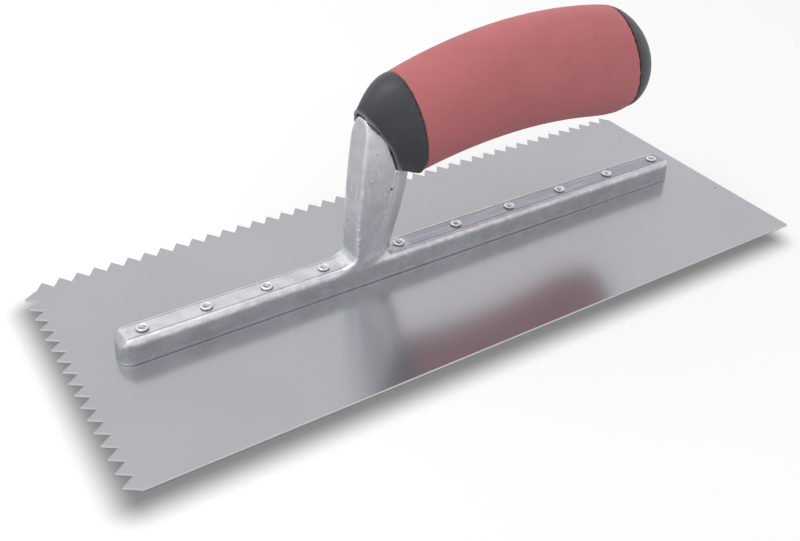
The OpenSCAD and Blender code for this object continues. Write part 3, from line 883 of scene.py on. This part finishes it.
class MakeRivets(bpy.types.Operator):
    """Turn one rivet with its clenched ring and dimple, and set a copy in each hole"""

    bl_idname = "trowel.rivets"
    bl_label = "Rivets"

    def execute(self, context):
        settings = context.scene.trowel_rivets
        metal = rivet_metal(settings)
        low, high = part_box(RIVETS[0])
        pattern = self.turn(settings, low, high)
        centre = (low + high) / 2.0
        chance = random.Random(RIVET_SEED)
        for name in RIVETS:
            near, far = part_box(name)
            shift = (near + far) / 2.0 - centre
            rivet = bpy.data.objects.new("clenched_" + name, pattern.data.copy())
            context.scene.collection.objects.link(rivet)
            self.settle(rivet, centre, shift, chance)
            hand_over(rivet, name, metal, math.radians(50.0))
        bpy.data.objects.remove(pattern)
        return {"FINISHED"}

    def turn(self, settings, low, high):
        """Shape the rivet from a disc, step by step from its flush end to the dimple's floor."""
        centre = (low + high) / 2.0
        foot = (high.x - low.x) / 2.0
        first_radius = foot - 0.16 * MM
        top = high.z
        seat = top - settings.head_height
        head, hole = settings.head_radius, settings.dimple_radius
        steps = [
            (foot - 0.08 * MM, low.z + 0.08 * MM), (settings.pin_radius, BLADE_TOP),
            (settings.pin_radius, seat), (head * 0.97, seat - 0.01 * MM),
            (head, seat + 0.2 * MM), (head * 0.985, top - 0.26 * MM),
            (head * 0.93, top - 0.09 * MM), (head * 0.84, top - 0.01 * MM),
            (head * 0.75, top), (hole * 1.16, top - 0.07 * MM),
            (hole * 1.04, top - 0.22 * MM), (hole, top - 0.42 * MM),
            (hole * 0.93, top - settings.dimple_depth + 0.2 * MM),
            (hole * 0.72, top - settings.dimple_depth + 0.04 * MM),
            (hole * 0.35, top - settings.dimple_depth),
        ]
        only(None)
        bpy.ops.mesh.primitive_circle_add(
            vertices=settings.sides, radius=first_radius, fill_type="NGON",
            location=(centre.x, centre.y, low.z),
        )
        rivet = bpy.context.active_object
        bpy.ops.object.transform_apply(location=True, rotation=False, scale=False)
        radius, height = first_radius, low.z
        bpy.ops.object.mode_set(mode="EDIT")
        bpy.ops.mesh.select_mode(type="FACE")
        bpy.ops.mesh.select_all(action="SELECT")
        for new_radius, new_height in steps:
            bpy.ops.mesh.extrude_region_move(
                TRANSFORM_OT_translate={"value": (0.0, 0.0, new_height - height)}
            )
            factor = new_radius / radius
            bpy.ops.transform.resize(
                value=(factor, factor, 1.0), center_override=(centre.x, centre.y, new_height),
            )
            radius, height = new_radius, new_height
        bpy.ops.mesh.select_all(action="SELECT")
        bpy.ops.mesh.normals_make_consistent(inside=False)
        bpy.ops.object.mode_set(mode="OBJECT")
        return rivet

    def settle(self, rivet, centre, shift, chance):
        """Move a copy to its hole and press its ring a little unevenly, as clenching does."""
        place = points(rivet)
        round_it = np.arctan2(place[:, 1] - centre.y, place[:, 0] - centre.x)
        lean = chance.uniform(0.0, math.tau)
        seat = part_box(RIVETS[0])[1].z - 0.45 * MM
        ring = ramp(place[:, 2], seat - 0.1 * MM, seat + 0.2 * MM)
        place[:, 2] -= ring * (0.05 + 0.05 * np.cos(round_it - lean)) * MM
        reach = np.hypot(place[:, 0] - centre.x, place[:, 1] - centre.y)
        # Painted shade in the dimple and round the foot of the ring, stored for the material.
        dirt = 1.0 - ramp(reach, 0.8 * MM, 1.25 * MM)
        under_ring = 1.0 - ramp(place[:, 2], seat - 0.1 * MM, seat + 0.1 * MM)
        store(rivet, "dirt", np.maximum(dirt, ramp(reach, 2.0 * MM, 2.12 * MM) * under_ring))
        oval = 1.0 + ring * 0.02 * np.cos(2.0 * (round_it - lean))
        for axis, middle in ((0, centre.x), (1, centre.y)):
            place[:, axis] = middle + (place[:, axis] - middle) * oval + shift[axis]
        place_points(rivet, place)


class MakeCore(bpy.types.Operator):
    """Model the dark plastic core with the lip round its mouth and its hollowed sides"""

    bl_idname = "trowel.core"
    bl_label = "Handle core"

    def execute(self, context):
        settings = context.scene.trowel_handle
        core = remould(
            "handle_core", "plastic_core", settings.core_mesh,
            crisp=0.3 * MM, even_steps=3, melt_steps=40,
        )
        low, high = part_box("handle_core")
        self.wrap_cheek(core, low, high)
        self.hang_chin(core)
        self.raise_lip(core, settings, low)
        hand_over(core, "handle_core", hard_plastic(settings))
        return {"FINISHED"}

    def wrap_cheek(self, core, low, high):
        """Draw the far cheek of the mouth forward round the shank's top."""
        place = points(core)
        rim = low.x + (MOUTH_TOP - place[:, 2]) * MOUTH_SLOPE
        near_rim = 1.0 - ramp(place[:, 0] - rim, 0.5 * MM, 9.0 * MM)
        far_side = ramp(place[:, 1] - (low.y + high.y) / 2.0, 2.5 * MM, 5.0 * MM)
        forward = np.interp(place[:, 2], CHEEK_HEIGHTS, CHEEK_FORWARD)
        place[:, 0] -= forward * near_rim * far_side
        place_points(core, place)

    def hang_chin(self, core):
        """Lower the narrow end of the chin just behind the shank's ledge."""
        place = points(core)
        ahead = -place[:, 0]
        behind_ledge = ramp(ahead, -4.0 * MM, 9.0 * MM)
        behind_ledge = behind_ledge * (1.0 - ramp(ahead, 15.0 * MM, 18.0 * MM))
        low_part = 1.0 - ramp(place[:, 2], 40.5 * MM, 46.0 * MM)
        place[:, 2] -= 1.3 * MM * behind_ledge * low_part
        place_points(core, place)

    def raise_lip(self, core, settings, low):
        """Raise a narrow lip on the outer skin all round the mouth, and hollow the sides a little."""
        place, facing = points(core), normals(core)
        reach = settings.lip_width + 1.3 * MM
        gap = self.close_mouth(place, facing, low, reach)
        lift = 1.0 - ramp(gap, settings.lip_width + 0.7 * MM, reach)
        place += facing * (lift * settings.lip_height)[:, None]
        for side in (-1.0, 1.0):
            aside = BAR_MIDDLE + side * HOLLOW_OUT
            centre = np.array([low.x + HOLLOW_BACK, aside, low.z + HOLLOW_UP])
            depth = 1.0 - ramp(np.linalg.norm(place - centre, axis=1), 0.0, HOLLOW_RADIUS)
            place -= facing * (depth * settings.hollow)[:, None]
        place_points(core, place)
        self.even_chin(core, place)
        # Store the lip, for the painted highlight the material puts along it.
        store(core, "lip", lift)

    def close_mouth(self, place, facing, low, reach):
        """Draw the mouth's inner wall up to the shank, and give how far the outer skin is from it."""
        casting = surface_of("mounting")
        gap = np.full(len(place), 1.0)
        for index in np.where(place[:, 0] < low.x + 20.0 * MM)[0]:
            found = casting.find_nearest(Vector(place[index]), reach)
            if found[3] is None:
                continue
            away = Vector(place[index]) - found[0]
            outward = away.dot(Vector(facing[index])) / max(away.length, 1e-9)
            if outward > -0.3:
                gap[index] = found[3]
            else:
                keep = float(np.interp(place[index][2], (0.048, 0.062), (0.06, 0.34))) * MM
                place[index] = found[0] + away.normalized() * min(found[3], keep)
        return gap

    def even_chin(self, core, place):
        """Smooth the end of the chin, where the drawn-in wall meets the lip."""
        weight = 1.0 - ramp(place[:, 2], 44.5 * MM, 47.5 * MM)
        weight *= ramp(place[:, 0], -16.0 * MM, -13.0 * MM)
        weight *= 1.0 - ramp(place[:, 0], -3.0 * MM, 2.0 * MM)
        smooth_where(core, weight, 16)


class MakeGrip(bpy.types.Operator):
    """Model the soft sleeve with rounded ends"""

    bl_idname = "trowel.grip"
    bl_label = "Soft grip"

    def execute(self, context):
        settings = context.scene.trowel_handle
        grip = remould(
            "grip_sleeve", "soft_grip", settings.grip_mesh,
            crisp=0.3 * MM, even_steps=6, melt_steps=40,
        )
        hand_over(grip, "grip_sleeve", soft_rubber(settings))
        return {"FINISHED"}


class MakeBolt(bpy.types.Operator):
    """Model the socket bolt and its washer with rounded edges"""

    bl_idname = "trowel.bolt"
    bl_label = "Bolt and washer"

    def execute(self, context):
        settings = context.scene.trowel_bolt
        metal = plated_steel(settings)
        for node, name in (("handle_bolt", "socket_bolt"), ("bolt_washer", "plain_washer")):
            piece = twin(node, name)
            round_edges(piece, settings.edge_round)
            hand_over(piece, node, metal, math.radians(40.0))
        return {"FINISHED"}


class MakeStage(bpy.types.Operator):
    """Set the pale floor, the soft light and the camera"""

    bl_idname = "trowel.stage"
    bl_label = "Stage"

    def execute(self, context):
        settings = context.scene.trowel_stage
        self.floor(settings)
        self.world(context, settings)
        self.lamp("key_light", KEY_PLACE, KEY_SIZE, settings.key_power)
        self.lamp("fill_light", FILL_PLACE, FILL_SIZE, settings.fill_power)
        self.camera(context, settings)
        context.scene.view_settings.view_transform = "Standard"
        return {"FINISHED"}

    def floor(self, settings):
        """A plain pale sheet under the blade, with a painted soft shadow beside the blade, seen by the
        camera only.
        """
        only(None)
        bpy.ops.mesh.primitive_plane_add(size=settings.floor_size, location=(0.0, 0.0, 0.0))
        floor = bpy.context.active_object
        floor.name = "floor"
        bpy.ops.transform.translate(value=(0.0, 0.0, -0.05 * MM))
        bpy.ops.object.transform_apply(location=True)
        made, f = new_finish("pale_floor")
        low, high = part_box("blade")
        middle, half = (low + high) / 2.0, (high - low) / 2.0
        shift_x, shift_y = SHADE_SHIFT
        inset_x, inset_y = SHADE_INSET
        along = (f.place("X") - (middle.x - shift_x)).size() - (half.x - inset_x)
        across = (f.place("Y") - (middle.y - shift_y)).size() - (half.y - inset_y)
        along, across = along.most(0.0), across.most(0.0)
        gap = f.node("ShaderNodeMath", {"operation": "SQRT"}, {0: along * along + across * across})
        shade = 1 - gap.rise(0.0, settings.shade_reach)
        seen = f.node("ShaderNodeLightPath", out=0)
        plain = f.mix(seen, (0.80, 0.80, 0.80), (1.0, 1.0, 1.0))
        # Painted shadow beside the blade, for camera rays only.
        skin = f.mix(shade * seen * settings.shade_depth, plain, (0.14, 0.14, 0.14))
        close(f, **{"Base Color": skin, "Roughness": 1.0, "Specular IOR Level": 0.0})
        floor.data.materials.append(made)

    def world(self, context, settings):
        """Even light from all round, seen as white by the camera and by the metal."""
        world = bpy.data.worlds.new("even_light")
        context.scene.world = world
        world.use_nodes = True
        f = Finish(world.node_tree)
        rays = f.node("ShaderNodeLightPath").socket.node
        seen = Wire(f, rays.outputs["Is Camera Ray"])
        for kind in ("Is Glossy Ray", "Is Transmission Ray"):
            seen = seen.most(Wire(f, rays.outputs[kind]))
        strength = settings.sky + seen * (1.0 - settings.sky)
        white = {"Color": (1.0, 1.0, 1.0, 1.0), "Strength": strength}
        light = f.node("ShaderNodeBackground", None, white)
        f.node("ShaderNodeOutputWorld", None, {"Surface": light})

    def lamp(self, name, place, size, power):
        """A large square lamp aimed at the middle of the part."""
        lamp = bpy.data.lights.new(name, "AREA")
        lamp.size, lamp.energy = size, power
        holder = bpy.data.objects.new(name, lamp)
        bpy.context.scene.collection.objects.link(holder)
        stand = Vector(place)
        aim = (Vector(LAMP_AIM) - stand).to_track_quat("-Z", "Y")
        holder.matrix_world = Matrix.Translation(stand) @ aim.to_matrix().to_4x4()

    def camera(self, context, settings):
        """The camera, from its heading, dip and roll."""
        turn, dip, roll = settings.heading, settings.dip, settings.roll
        ahead = Vector((math.sin(turn) * math.cos(dip), math.cos(turn) * math.cos(dip), -math.sin(dip)))
        right = Vector((math.cos(turn), -math.sin(turn), 0.0))
        up = right.cross(ahead)
        level, upright = right, up
        right = level * math.cos(roll) + upright * math.sin(roll)
        up = upright * math.cos(roll) - level * math.sin(roll)
        data = bpy.data.cameras.new("view")
        data.sensor_width, data.sensor_fit = 36.0, "HORIZONTAL"
        data.lens, data.shift_x, data.shift_y = settings.lens, settings.shift_x, settings.shift_y
        data.clip_start, data.clip_end = 0.01, 100.0
        camera = bpy.data.objects.new("view", data)
        context.scene.collection.objects.link(camera)
        camera.matrix_world = Matrix((
            (right.x, up.x, -ahead.x, settings.camera_place[0]),
            (right.y, up.y, -ahead.y, settings.camera_place[1]),
            (right.z, up.z, -ahead.z, settings.camera_place[2]),
            (0.0, 0.0, 0.0, 1.0),
        ))
        context.scene.camera = camera


STEPS = (MakeBlade, MakeCasting, MakeRivets, MakeCore, MakeGrip, MakeBolt, MakeStage)
SETTINGS = {
    "trowel_blade": BladeSettings,
    "trowel_casting": CastingSettings,
    "trowel_rivets": RivetSettings,
    "trowel_handle": HandleSettings,
    "trowel_bolt": BoltSettings,
    "trowel_stage": StageSettings,
}


class TrowelPanel(bpy.types.Panel):
    """Buttons and sizes of the trowel"""

    bl_idname = "VIEW3D_PT_trowel"
    bl_label = "Notched trowel"
    bl_space_type = "VIEW_3D"
    bl_region_type = "UI"
    bl_category = "Trowel"

    def draw(self, context):
        for step in STEPS:
            self.layout.operator(step.bl_idname)
        for name, group in SETTINGS.items():
            box = self.layout.box()
            box.label(text=group.__doc__)
            for key in group.__annotations__:
                box.prop(getattr(context.scene, name), key)


def register():
    for group in SETTINGS.values():
        bpy.utils.register_class(group)
    for name, group in SETTINGS.items():
        setattr(bpy.types.Scene, name, PointerProperty(type=group))
    for step in STEPS:
        bpy.utils.register_class(step)
    bpy.utils.register_class(TrowelPanel)


def unregister():
    bpy.utils.unregister_class(TrowelPanel)
    for step in reversed(STEPS):
        bpy.utils.unregister_class(step)
    for name in SETTINGS:
        delattr(bpy.types.Scene, name)
    for group in reversed(list(SETTINGS.values())):
        bpy.utils.unregister_class(group)


def main():
    """Make every piece and the stage."""
    register()
    for step in STEPS:
        group, name = step.bl_idname.split(".")
        if getattr(getattr(bpy.ops, group), name)() != {"FINISHED"}:
            raise RuntimeError(step.bl_label + " was not finished")


if __name__ == "__main__":
    main()
